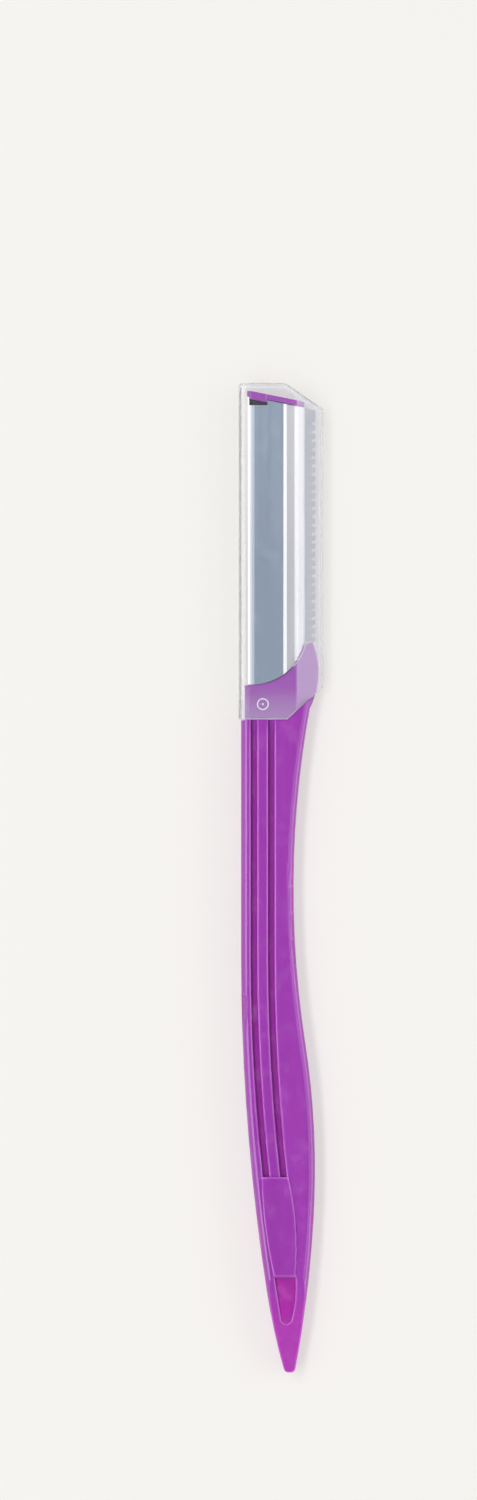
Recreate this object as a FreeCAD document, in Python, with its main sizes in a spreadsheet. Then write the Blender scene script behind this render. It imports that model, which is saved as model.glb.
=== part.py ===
import FreeCAD, Part
import math
import operator
import os
from types import SimpleNamespace

import Sketcher

# Eyebrow razor, lying on its back: +Z points away from the table, +Y from the tail to the capped
# tip and +X from the spine to the cutting side. Every piece is drawn from one corner: X from the
# left side of the cap, Y from the end of the tail, Z from the table. The placement of each
# finished piece then brings the origin to the middle of the razor's footprint.

# Sizes in millimetres. A name that ends in _x, _y or _z is a place, counted from that corner.
GRIP_SIZES = {
    "grip_length": 97.1,
    "grip_span": 11.4,
    "grip_thickness": 4.2,
    "grip_edge_radius": 0.9,
    "waist_radius": 150.0,
    "tail_drop": 1.2,
    "tail_drop_run": 14.0,
    "tail_corner_radius": 0.7,
    "groove_width": 0.92,
    "groove_depth": 0.9,
    "groove_inset": 1.45,
    "groove_spacing": 2.58,
    "groove_edge_radius": 0.2,
    "plaque_foot": 14.4,
    "plaque_length": 14.8,
    "plaque_rise": 0.3,
    "plaque_spine_radius": 76.0,
    "plaque_belly_radius": 47.0,
    "plaque_edge_radius": 0.18,
    "thumb_pocket_gap": 0.15,
    "thumb_pocket_length": 6.45,
    "thumb_pocket_mouth": 3.1,
    "thumb_pocket_end": 1.5,
    "thumb_pocket_end_shift": 1.0,
    "thumb_pocket_depth": 0.8,
    "thumb_pocket_radius": 19.0,
    "thumb_pocket_edge_radius": 0.1,
}
NECK_SIZES = {
    "neck_thickness": 2.9,
    "neck_inset": 0.9,
    "neck_length": 5.2,
    "neck_root": 2.0,
    "neck_side_radius": 1.1,
    "recess_below_sleeve": 1.1,
    "recess_length": 3.0,
    "recess_side": 0.15,
    "heel_rise": 6.2,
    "heel_top_x": 10.1,
    "heel_joint_x": 7.66,
    "heel_joint_rise": 2.2,
    "heel_flat": 1.2,
    "neck_bevel_x": 8.43,
    "guard_x": 11.88,
    "guard_widest": 7.2,
    "guard_lower_radius": 12.65,
    "guard_upper_radius": 11.8,
    "guard_root_x": 10.2,
    "guard_root_rise": 0.9,
    "guard_tip_inset": 0.85,
    "guard_tip_rise": 0.2,
    "guard_edge_thickness": 1.1,
    "guard_edge_radius": 0.3,
}
CARRIER_SIZES = {
    "head_length": 49.1,
    "tip_inset": 0.2,
    "tip_width": 8.5,
    "tip_slope": 1.67,
    "tip_wall": 0.8,
    "stop_length": 1.2,
    "stop_rise": 0.15,
    "tongue_root": 2.3,
    "stop_edge_radius": 0.25,
    "rail_width": 3.0,
    "ledge_beyond_crease": 1.25,
    "peg_diameter": 1.6,
    "peg_from_end": 6.0,
    "peg_from_rail": 1.9,
    "peg_head_gap": 0.1,
}
SLEEVE_SIZES = {
    "sheet": 0.25,
    "sleeve_thickness": 2.6,
    "sleeve_side_x": 1.07,
    "sleeve_fit": 0.05,
    "sleeve_end_gap": 0.12,
    "first_crease_x": 6.93,
    "first_crease_radius": 3.0,
    "second_crease_x": 8.27,
    "second_crease_thickness": 2.12,
    "second_crease_radius": 1.0,
    "comb_root_x": 9.86,
    "comb_tip_x": 11.4,
    "lip_gap": 0.26,
    "tooth_pitch": 1.26,
    "tooth_space": 0.42,
    "tooth_slant": 0.5,
    "comb_end_margin": 0.5,
    "slot_inset": 0.1,
    "notch_inset": 0.52,
    "notch_width": 2.73,
    "notch_length": 1.3,
}
BLADE_SIZES = {
    "blade_thickness": 0.2,
    "blade_recess": 0.5,
    "blade_rail_gap": 0.1,
    "blade_bevel": 0.6,
    "blade_edge": 0.02,
    "blade_heel_gap": 0.3,
    "blade_tip_gap": 0.4,
    "blade_hole_clearance": 0.05,
}
CAP_SIZES = {
    "cap_wall": 0.55,
    "cap_width": 12.6,
    "cap_length": 50.1,
    "cap_mouth_gap": 0.1,
    "cap_crease_x": 8.7,
    "cap_crease_radius": 2.0,
    "cap_edge_thickness": 2.2,
    "cap_edge_radius": 0.6,
    "cap_side_radius": 1.0,
    "cap_top_radius": 0.55,
    "cap_top_corner_radius": 1.5,
    "cap_top_flat": 7.0,
    "cap_top_slope": 3.9,
    "cap_mouth_flat": 7.23,
    "cap_mouth_slope": 4.87,
    "cap_mouth_radius": 0.15,
    "ring_x": 3.62,
    "ring_height": 2.3,
    "ring_diameter": 1.6,
    "ring_bead": 0.3,
    "ring_rise": 0.13,
    "snap_diameter": 0.9,
    "snap_rise": 0.07,
}
CUTTING_SIZES = {
    "overrun": 1.0,
}
ALL_SIZES = [GRIP_SIZES, NECK_SIZES, CARRIER_SIZES, SLEEVE_SIZES, BLADE_SIZES, CAP_SIZES, CUTTING_SIZES]

# Corners of the grip's outline: across in shares of grip_span, along in shares of grip_length.
SPINE_SHARES = (0.033, 0.6385)
SPINE_TAIL_SHARES = (0.368, 0.1256)
TAIL_SHARES = (0.605, 0.7325)
BELLY_FOOT_SHARES = (0.993, 0.2678)
WAIST_FOOT_SHARES = (0.874, 0.5046)
WAIST_TOP_SHARE = 0.958

# The spine beside the foot of the grooves, and the plaque's corners, across in shares of grip_span.
GROOVE_FOOT_SHARE = 0.193
PLAQUE_TOP_SHARES = (0.294, 0.654)
PLAQUE_FOOT_SHARES = (0.457, 0.747)

# Turns of an arc: to the left or right of the way that the outline is walked, or smooth with the
# edge before or after it.
LEFT, RIGHT = 1, -1
SMOOTH_START, SMOOTH_END = "smooth start", "smooth end"

# Least distance that tells two points or levels of a shape apart.
CLOSE = 1e-4


def join_with(sign, action):
    """Make the method that joins two sizes with one sign, as numbers and as an expression."""
    def method(left, right):
        right = Size.of(right)
        return Size(action(left.number, right.number), f"({left.text} {sign} {right.text})")
    return method


class Size:
    """A size of the sheet, or one worked out from such sizes, as a number and as an expression."""

    def __init__(self, number, text):
        self.number = number
        self.text = text

    @staticmethod
    def of(value):
        """Return the value as a size, also where it is a plain number."""
        return value if isinstance(value, Size) else Size(float(value), repr(float(value)))

    __add__ = join_with("+", operator.add)
    __sub__ = join_with("-", operator.sub)
    __mul__ = join_with("*", operator.mul)
    __truediv__ = join_with("/", operator.truediv)

    def __neg__(self):
        return Size.of(0) - self


def root(size):
    """Return the square root of a size."""
    return Size(math.sqrt(size.number), f"sqrt({size.text})")


doc = FreeCAD.newDocument("eyebrow_razor")
sheet = doc.addObject("Spreadsheet::Sheet", "sizes")
s = SimpleNamespace()
row = 0
for table in ALL_SIZES:
    for alias, number in table.items():
        row += 1
        sheet.set(f"A{row}", alias)
        sheet.set(f"B{row}", str(number))
        sheet.setAlias(f"B{row}", alias)
        setattr(s, alias, Size(float(number), f"sizes.{alias}"))
doc.recompute()

# Levels that several pieces share.
middle_z = s.grip_thickness / 2
shoulder_y = s.grip_length
sleeve_foot_y = shoulder_y + s.neck_length
heel_y = sleeve_foot_y + s.heel_rise
tip_y = shoulder_y + s.head_length
tip_x = s.sleeve_side_x + s.tip_inset
tip_far_x = tip_x + s.tip_width
tip_steepness = s.tip_slope / s.tip_width
groove_foot_y = s.plaque_foot + s.plaque_length
recess_y = sleeve_foot_y - s.recess_below_sleeve
cap_half = s.grip_thickness / 2
mouth_y = shoulder_y + s.cap_mouth_gap
mouth_steepness = s.cap_mouth_slope / (s.cap_width - s.cap_mouth_flat)

# Inside of the folded sleeve, and what lies in it.
sleeve_half = s.sleeve_thickness / 2
spine_x = s.sleeve_side_x + sleeve_half
second_half = s.second_crease_thickness / 2
lip_half = s.lip_gap / 2 + s.sheet
first_steepness = (sleeve_half - second_half) / (s.second_crease_x - s.first_crease_x)
second_steepness = (second_half - lip_half) / (s.comb_root_x - s.second_crease_x)
notch_x = s.sleeve_side_x + s.notch_inset
notch_far_x = notch_x + s.notch_width
notch_y = tip_y - s.tip_wall - s.sleeve_end_gap - s.notch_length
comb_foot_y = heel_y + s.guard_tip_rise + s.sleeve_end_gap
carrier_half = sleeve_half - s.sheet - s.sleeve_fit
carrier_x = s.sleeve_side_x + s.sheet + s.sleeve_fit
rail_x = carrier_x + s.rail_width
ledge_x = s.first_crease_x + s.ledge_beyond_crease
ledge_z = middle_z - s.blade_thickness / 2
blade_x = rail_x + s.blade_rail_gap
blade_edge_x = s.comb_tip_x - s.blade_recess
blade_foot_y = heel_y + s.blade_heel_gap
blade_top_y = tip_y - (blade_edge_x - tip_x) * tip_steepness - s.tip_wall - s.blade_tip_gap
peg_x = rail_x + s.peg_from_rail
peg_ys = (blade_foot_y + s.peg_from_end, blade_top_y - s.peg_from_end)


def bind(item, path, size):
    """Tie a property of an object to the sheet."""
    item.setExpression(path, Size.of(size).text)


def new_body(name):
    """Start the body of a piece."""
    return doc.addObject("PartDesign::Body", name)


def new_sketch(body, name, plane, level):
    """Add a sketch parallel to a plane of the body's origin, at a level along the frame's axis."""
    sketch = body.newObject("Sketcher::SketchObject", name)
    support = next(feature for feature in body.Origin.OriginFeatures if feature.Role == plane)
    sketch.AttachmentSupport = [(support, "")]
    sketch.MapMode = "FlatFace"
    # The normal of the XZ plane points along -Y.
    bind(sketch, "AttachmentOffset.Base.z", -level if plane == "XZ_Plane" else level)
    return sketch


def arc_through(start, end, turn, radius):
    """Return the centre of the arc under a half circle between two points, on the turn's side."""
    chord = end - start
    to_left = FreeCAD.Vector(-chord.y, chord.x, 0).normalize()
    height = math.sqrt(radius ** 2 - (chord.Length / 2) ** 2)
    return (start + end) / 2 + to_left * height * turn


def arc_along(start, end, direction):
    """Return the centre and turn of the arc that leaves its start along a direction."""
    to_left = FreeCAD.Vector(-direction.y, direction.x, 0).normalize()
    chord = end - start
    reach = chord.dot(chord) / (2 * chord.dot(to_left))
    return start + to_left * reach, (LEFT if reach > 0 else RIGHT)


def heading(centre, turn, point):
    """Return the direction in which an arc passes a point."""
    spoke = point - centre
    return FreeCAD.Vector(-spoke.y, spoke.x, 0).normalize() * turn


def find_arcs(points, bends):
    """Return each bent edge's centre and turn, by the number of the corner that it leaves."""
    count = len(points)
    arcs = {}
    while len(arcs) < len(bends):
        for index, bend in bends.items():
            start, end = points[index], points[(index + 1) % count]
            beside = (index - 1 if bend == SMOOTH_START else index + 1) % count
            if index in arcs or (beside in bends and beside not in arcs and isinstance(bend, str)):
                continue
            if not isinstance(bend, str):
                turn, radius = bend
                arcs[index] = (arc_through(start, end, turn, Size.of(radius).number), turn)
                continue
            shared = start if bend == SMOOTH_START else end
            if beside in arcs:
                direction = heading(*arcs[beside], shared)
            else:
                direction = points[(beside + 1) % count] - points[beside]
            if bend == SMOOTH_START:
                arcs[index] = arc_along(start, end, direction)
            else:
                centre, turn = arc_along(end, start, -direction)
                arcs[index] = (centre, -turn)
    return arcs


def draw_outline(sketch, corners, bends={}):
    """Draw a closed outline and tie it to the sheet.

    The corners are (x, y) sizes. The bends say, by the number of a corner, which edges leave it
    as arcs: (turn, radius), SMOOTH_START or SMOOTH_END.
    """
    corners = [(Size.of(x), Size.of(y)) for x, y in corners]
    points = [FreeCAD.Vector(x.number, y.number, 0) for x, y in corners]
    count = len(points)
    arcs = find_arcs(points, bends)
    first = sketch.GeometryCount
    starts, ends = [], []
    for index, start in enumerate(points):
        end = points[(index + 1) % count]
        if index in arcs:
            centre, turn = arcs[index]
            circle = Part.Circle(centre, FreeCAD.Vector(0, 0, 1), (start - centre).Length)
            begin, finish = (start, end) if turn == LEFT else (end, start)
            angles = [math.atan2(point.y - centre.y, point.x - centre.x) for point in (begin, finish)]
            sketch.addGeometry(Part.ArcOfCircle(circle, *angles), False)
        else:
            turn = LEFT
            sketch.addGeometry(Part.LineSegment(start, end), False)
        starts.append(1 if turn == LEFT else 2)
        ends.append(2 if turn == LEFT else 1)

    for index in range(count):
        before = (index - 1) % count
        smooth = bends.get(index) == SMOOTH_START or bends.get(before) == SMOOTH_END
        kind = "Tangent" if smooth else "Coincident"
        sketch.addConstraint(
            Sketcher.Constraint(kind, first + before, ends[before], first + index, starts[index]))
        for axis, size in zip("XY", corners[index]):
            number = sketch.addConstraint(Sketcher.Constraint(
                f"Distance{axis}", -1, 1, first + index, starts[index], size.number))
            bind(sketch, f"Constraints[{number}]", size)
        if index in bends and not isinstance(bends[index], str):
            radius = Size.of(bends[index][1])
            number = sketch.addConstraint(Sketcher.Constraint("Radius", first + index, radius.number))
            bind(sketch, f"Constraints[{number}]", radius)


def draw_circle(sketch, x, y, diameter):
    """Draw a circle and tie it to the sheet."""
    centre = FreeCAD.Vector(x.number, y.number, 0)
    circle = Part.Circle(centre, FreeCAD.Vector(0, 0, 1), diameter.number / 2)
    index = sketch.addGeometry(circle, False)
    sizes = [("DistanceX", (-1, 1, index, 3), x), ("DistanceY", (-1, 1, index, 3), y),
             ("Diameter", (index,), diameter)]
    for kind, where, size in sizes:
        number = sketch.addConstraint(Sketcher.Constraint(kind, *where, size.number))
        bind(sketch, f"Constraints[{number}]", size)


def pad(body, sketch, length, name):
    """Extrude a sketch along its normal."""
    feature = body.newObject("PartDesign::Pad", name)
    feature.Profile = sketch
    bind(feature, "Length", length)
    doc.recompute()
    return feature


def cut(body, sketch, name, depth=None, upward=False):
    """Cut a sketch's profile to a depth, or right through, and check that material went."""
    before = body.Tip.Shape.Volume
    feature = body.newObject("PartDesign::Pocket", name)
    feature.Profile = sketch
    if depth is None:
        feature.SideType = "Symmetric"
        feature.Type = "ThroughAll"
    else:
        bind(feature, "Length", depth)
        feature.Reversed = upward
    doc.recompute()
    if feature.Shape.Volume > before - CLOSE:
        raise RuntimeError(f"{name} cuts nothing")
    return feature


def round_edges(body, name, radius, wanted):
    """Round the edges of the body's last feature that the test picks."""
    base = body.Tip
    picked = [f"Edge{number}" for number, edge in enumerate(base.Shape.Edges, 1) if wanted(edge)]
    if not picked:
        raise RuntimeError(f"{name} finds no edge")
    feature = body.newObject("PartDesign::Fillet", name)
    feature.Base = (base, picked)
    feature.Refine = False
    bind(feature, "Radius", radius)
    doc.recompute()
    return feature


def near(value, size):
    """Tell whether a number lies at a size."""
    return abs(value - Size.of(size).number) < CLOSE


def is_upright(edge):
    """Tell whether an edge runs along Z."""
    return edge.BoundBox.XLength < CLOSE and edge.BoundBox.YLength < CLOSE


def is_along(edge):
    """Tell whether an edge runs along Y."""
    return edge.BoundBox.XLength < CLOSE and edge.BoundBox.ZLength < CLOSE


def has_edge(face, edge):
    """Tell whether a face is bounded by an edge."""
    return any(edge.isSame(rim) for rim in face.Edges)


def end_rim(shape, side):
    """Make the test for edges around the upright faces that look along Y, up it or down it."""
    faces = []
    for face in shape.Faces:
        normal = face.normalAt(0, 0)
        if abs(normal.z) < CLOSE < normal.y * side:
            faces.append(face)
    return lambda edge: sum(has_edge(face, edge) for face in faces) == 1


def borders_wall(shape, low, high, level):
    """Make the test for edges at one level that border an upright wall between two heights."""
    walls = [face for face in shape.Faces
             if near(face.BoundBox.ZMin, low) and near(face.BoundBox.ZMax, high)]

    def test(edge):
        box = edge.BoundBox
        at_level = near(box.ZMin, level) and near(box.ZMax, level)
        return at_level and any(has_edge(wall, edge) for wall in walls)
    return test


def across(share):
    """Return a place across the grip."""
    return s.grip_span * share


def along(share):
    """Return a place along the grip."""
    return s.grip_length * share


def cut_grooves(body):
    """Cut the two long finger grooves into the face and the back of a body of the handle."""
    for side in range(2):
        shift = s.groove_inset + s.groove_spacing * side
        top = across(SPINE_SHARES[0]) + shift
        foot = across(GROOVE_FOOT_SHARE) + shift
        bend_y = along(SPINE_SHARES[1])
        for face, level in (("front", s.grip_thickness), ("back", Size.of(0))):
            sketch = new_sketch(body, f"{body.Name}_groove_{side + 1}_{face}_outline", "XY_Plane", level)
            draw_outline(sketch, [
                (top, recess_y - s.recess_length),
                (top, bend_y),
                (foot, groove_foot_y),
                (foot + s.groove_width, groove_foot_y),
                (top + s.groove_width, bend_y),
                (top + s.groove_width, recess_y - s.recess_length),
            ], {1: SMOOTH_START, 3: SMOOTH_END})
            cut(body, sketch, f"{body.Name}_groove_{side + 1}_{face}", s.groove_depth,
                upward=face == "back")


def make_grip():
    """Make the grip: a flat bar with a swaying outline, a thinner tail, grooves and a plaque."""
    body = new_body("grip")
    outline = new_sketch(body, "grip_outline", "XY_Plane", Size.of(0))
    shoulder_x = across(WAIST_TOP_SHARE)
    shoulder_far_y = shoulder_y + (shoulder_x - s.cap_mouth_flat) * mouth_steepness
    draw_outline(outline, [
        (across(SPINE_SHARES[0]), shoulder_y),
        (across(SPINE_SHARES[0]), along(SPINE_SHARES[1])),
        (across(SPINE_TAIL_SHARES[0]), along(SPINE_TAIL_SHARES[1])),
        (across(TAIL_SHARES[0]), 0),
        (across(TAIL_SHARES[1]), 0),
        (across(BELLY_FOOT_SHARES[0]), along(BELLY_FOOT_SHARES[1])),
        (across(WAIST_FOOT_SHARES[0]), along(WAIST_FOOT_SHARES[1])),
        (shoulder_x, shoulder_far_y),
        (s.cap_mouth_flat, shoulder_y),
    ], {1: SMOOTH_START, 2: SMOOTH_START, 4: SMOOTH_END, 5: SMOOTH_END, 6: (RIGHT, s.waist_radius)})
    pad(body, outline, s.grip_thickness, "grip_bar")

    round_edges(body, "tail_corners", s.tail_corner_radius,
                lambda edge: is_upright(edge) and near(edge.BoundBox.YMin, 0))
    round_edges(body, "grip_edges", s.grip_edge_radius,
                lambda edge: edge.BoundBox.ZLength < CLOSE
                and edge.CenterOfMass.y < shoulder_y.number - CLOSE)

    cut_grooves(body)
    round_edges(body, "groove_front_edges", s.groove_edge_radius,
                borders_wall(body.Tip.Shape, s.grip_thickness - s.groove_depth, s.grip_thickness,
                             s.grip_thickness))
    round_edges(body, "groove_back_edges", s.groove_edge_radius,
                borders_wall(body.Tip.Shape, Size.of(0), s.groove_depth, Size.of(0)))

    plaque_z = s.grip_thickness + s.plaque_rise
    plaque = new_sketch(body, "plaque_outline", "XY_Plane", s.grip_thickness - s.plaque_rise)
    draw_outline(plaque, [
        (across(PLAQUE_TOP_SHARES[0]), groove_foot_y),
        (across(PLAQUE_FOOT_SHARES[0]), s.plaque_foot),
        (across(PLAQUE_FOOT_SHARES[1]), s.plaque_foot),
        (across(PLAQUE_TOP_SHARES[1]), groove_foot_y),
    ], {0: (LEFT, s.plaque_spine_radius), 2: (LEFT, s.plaque_belly_radius)})
    pad(body, plaque, s.plaque_rise * 2, "plaque")
    round_edges(body, "plaque_edges", s.plaque_edge_radius,
                lambda edge: near(edge.BoundBox.ZMin, plaque_z))

    pocket_y = s.plaque_foot - s.thumb_pocket_gap
    pocket_end_y = pocket_y - s.thumb_pocket_length
    pocket_x = across(PLAQUE_FOOT_SHARES[0]) + s.thumb_pocket_gap
    pocket_end_x = pocket_x + s.thumb_pocket_end_shift
    thumb_pocket = new_sketch(body, "thumb_pocket_outline", "XY_Plane", s.grip_thickness)
    draw_outline(thumb_pocket, [
        (pocket_x, pocket_y),
        (pocket_end_x, pocket_end_y),
        (pocket_end_x + s.thumb_pocket_end, pocket_end_y),
        (pocket_x + s.thumb_pocket_mouth, pocket_y),
    ], {1: (LEFT, s.thumb_pocket_end / 2 + s.thumb_pocket_gap / 2), 2: (LEFT, s.thumb_pocket_radius)})
    cut(body, thumb_pocket, "thumb_pocket", s.thumb_pocket_depth)

    # The front of the tail slopes down to its thinner end.
    tail_profile = new_sketch(body, "tail_profile", "YZ_Plane", Size.of(0))
    above_z = s.grip_thickness + s.overrun
    slope = s.tail_drop / s.tail_drop_run
    draw_outline(tail_profile, [
        (-s.overrun, s.grip_thickness - s.tail_drop - s.overrun * slope),
        (s.tail_drop_run, s.grip_thickness),
        (s.tail_drop_run, above_z),
        (-s.overrun, above_z),
    ])
    cut(body, tail_profile, "tail_front")

    # The pocket's rim lies above its floor, between its two sides.
    floor_z = s.grip_thickness - s.thumb_pocket_depth
    pocket_far_x = pocket_x + s.thumb_pocket_mouth
    pocket_low_y = pocket_end_y - s.thumb_pocket_end
    round_edges(body, "thumb_pocket_edges", s.thumb_pocket_edge_radius,
                lambda edge: edge.BoundBox.ZMin > floor_z.number + CLOSE and not is_upright(edge)
                and pocket_x.number - CLOSE < edge.CenterOfMass.x < pocket_far_x.number + CLOSE
                and pocket_low_y.number < edge.BoundBox.YMin
                and edge.BoundBox.YMax < pocket_y.number + CLOSE)
    return body


def tip_line(x):
    """Return the height at which the slanted end of the tip passes a place across the razor."""
    return tip_y - (x - tip_x) * tip_steepness


def heel_curve(shift):
    """Return the corners of the line where the sleeve meets the neck, from the comb to the spine.

    The first two edges between them are arcs that end smoothly.
    """
    return [
        (s.heel_top_x - shift, heel_y + shift),
        (s.heel_joint_x - shift, sleeve_foot_y + s.heel_joint_rise + shift),
        (s.neck_inset + s.heel_flat - shift, sleeve_foot_y + shift),
    ]


def make_neck():
    """Make the neck with the heel guard beside it, up to the line where the sleeve starts."""
    body = new_body("neck")
    half = s.neck_thickness / 2
    outline = new_sketch(body, "neck_outline", "XY_Plane", middle_z - half)
    root_y = shoulder_y - s.neck_root
    draw_outline(outline, [
        (s.neck_inset, root_y),
        (s.neck_bevel_x, root_y),
        (s.guard_root_x, shoulder_y + s.guard_root_rise),
        (s.guard_x, shoulder_y + s.guard_widest),
        (s.guard_x - s.guard_tip_inset, heel_y + s.guard_tip_rise),
        *heel_curve(Size.of(0)),
        (s.neck_inset, sleeve_foot_y),
    ], {2: (LEFT, s.guard_lower_radius), 3: (LEFT, s.guard_upper_radius), 5: SMOOTH_END, 6: SMOOTH_END})
    pad(body, outline, s.neck_thickness, "neck_plate")

    edge_half = s.guard_edge_thickness / 2
    steepness = (half - edge_half) / (s.guard_x - s.neck_bevel_x)
    far_x = s.guard_x + s.overrun
    for face, side in (("front", 1), ("back", -1)):
        bevel = new_sketch(body, f"guard_{face}_profile", "XZ_Plane", shoulder_y)
        draw_outline(bevel, [
            (s.neck_bevel_x, middle_z + half * side),
            (far_x, middle_z + (edge_half - steepness * s.overrun) * side),
            (far_x, middle_z + (half + s.overrun) * side),
            (s.neck_bevel_x, middle_z + (half + s.overrun) * side),
        ])
        cut(body, bevel, f"guard_{face}")
    round_edges(body, "neck_side", s.neck_side_radius,
                lambda edge: is_along(edge) and near(edge.BoundBox.XMin, s.neck_inset)
                and edge.BoundBox.ZLength < CLOSE)

    round_edges(body, "guard_edges", s.guard_edge_radius,
                lambda edge: edge.BoundBox.XMin > s.guard_root_x.number - CLOSE
                and edge.BoundBox.YLength > s.guard_root_rise.number and not is_upright(edge))

    cut_grooves(body)
    low_x = across(SPINE_SHARES[0]) + s.groove_inset - s.recess_side
    high_x = low_x + s.groove_spacing + s.groove_width + s.recess_side * 2
    for face, level in (("front", s.grip_thickness), ("back", Size.of(0))):
        recess = new_sketch(body, f"recess_{face}_outline", "XY_Plane", level)
        draw_outline(recess, [
            (low_x, recess_y - s.recess_length),
            (high_x, recess_y - s.recess_length),
            (high_x, recess_y),
            (low_x, recess_y),
        ])
        cut(body, recess, f"recess_{face}", s.groove_depth, upward=face == "back")
    return body


def make_carrier():
    """Make the blade carrier: the tongue inside the sleeve and the wall that closes its tip."""
    body = new_body("carrier")
    wall_far_half = second_half - (tip_far_x - s.second_crease_x) * second_steepness
    bulge = spine_x - tip_x
    wall_radius = (sleeve_half * sleeve_half + bulge * bulge) / (bulge * 2)
    wall = new_sketch(body, "tip_profile", "XZ_Plane", tip_y)
    draw_outline(wall, [
        (spine_x, middle_z - sleeve_half),
        (s.first_crease_x, middle_z - sleeve_half),
        (s.second_crease_x, middle_z - second_half),
        (tip_far_x, middle_z - wall_far_half),
        (tip_far_x, middle_z + wall_far_half),
        (s.second_crease_x, middle_z + second_half),
        (s.first_crease_x, middle_z + sleeve_half),
        (spine_x, middle_z + sleeve_half),
    ], {7: (LEFT, wall_radius)})
    pad(body, wall, s.tip_slope + s.tip_wall, "tip_wall")
    low_y = tip_y - s.tip_slope - s.tip_wall - s.overrun
    far_x = tip_far_x + s.overrun
    underside = new_sketch(body, "tip_underside_outline", "XY_Plane", middle_z)
    draw_outline(underside, [
        (-s.overrun, low_y),
        (far_x, low_y),
        (far_x, tip_line(far_x) - s.tip_wall),
        (-s.overrun, tip_line(-s.overrun) - s.tip_wall),
    ])
    cut(body, underside, "tip_underside")

    tongue = new_sketch(body, "tongue_profile", "XZ_Plane", tip_y)
    ledge_half = carrier_half - (ledge_x - s.first_crease_x) * first_steepness
    draw_outline(tongue, [
        (spine_x, middle_z - carrier_half),
        (s.first_crease_x, middle_z - carrier_half),
        (ledge_x, middle_z - ledge_half),
        (ledge_x, ledge_z),
        (rail_x, ledge_z),
        (rail_x, middle_z + carrier_half),
        (spine_x, middle_z + carrier_half),
    ], {6: SMOOTH_START})
    pad(body, tongue, tip_y - sleeve_foot_y + s.tongue_root, "tongue")

    stop_x = notch_x + s.sleeve_fit
    stop_far_x = notch_far_x - s.sleeve_fit
    stop = new_sketch(body, "stop_outline", "XY_Plane", middle_z)
    draw_outline(stop, [
        (stop_x, tip_y),
        (stop_x, tip_line(stop_x) - s.stop_length),
        (stop_far_x, tip_line(stop_far_x) - s.stop_length),
        (stop_far_x, tip_y),
    ])
    pad(body, stop, sleeve_half + s.stop_rise, "stop")

    relief = new_sketch(body, "notch_relief_outline", "XY_Plane", middle_z + sleeve_half)
    draw_outline(relief, [
        (-s.overrun, notch_y),
        (rail_x, notch_y),
        (rail_x, tip_line(rail_x) - s.stop_length),
        (-s.overrun, tip_line(-s.overrun) - s.stop_length),
    ])
    cut(body, relief, "notch_relief", s.sleeve_thickness)

    end = new_sketch(body, "tip_end_outline", "XY_Plane", middle_z)
    draw_outline(end, [
        (-s.overrun, tip_line(-s.overrun)),
        (far_x, tip_line(far_x)),
        (far_x, tip_y + s.overrun),
        (-s.overrun, tip_y + s.overrun),
    ])
    cut(body, end, "tip_end")

    round_edges(body, "stop_edges", s.stop_edge_radius,
                lambda edge: is_along(edge) and near(edge.BoundBox.ZMin, middle_z + sleeve_half + s.stop_rise))

    pegs = new_sketch(body, "peg_outlines", "XY_Plane", ledge_z - s.blade_thickness)
    for peg_y in peg_ys:
        draw_circle(pegs, peg_x, peg_y, s.peg_diameter)
    peg_top_z = middle_z + sleeve_half - s.sheet - s.peg_head_gap
    pad(body, pegs, peg_top_z - ledge_z + s.blade_thickness, "pegs")
    return body


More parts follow.
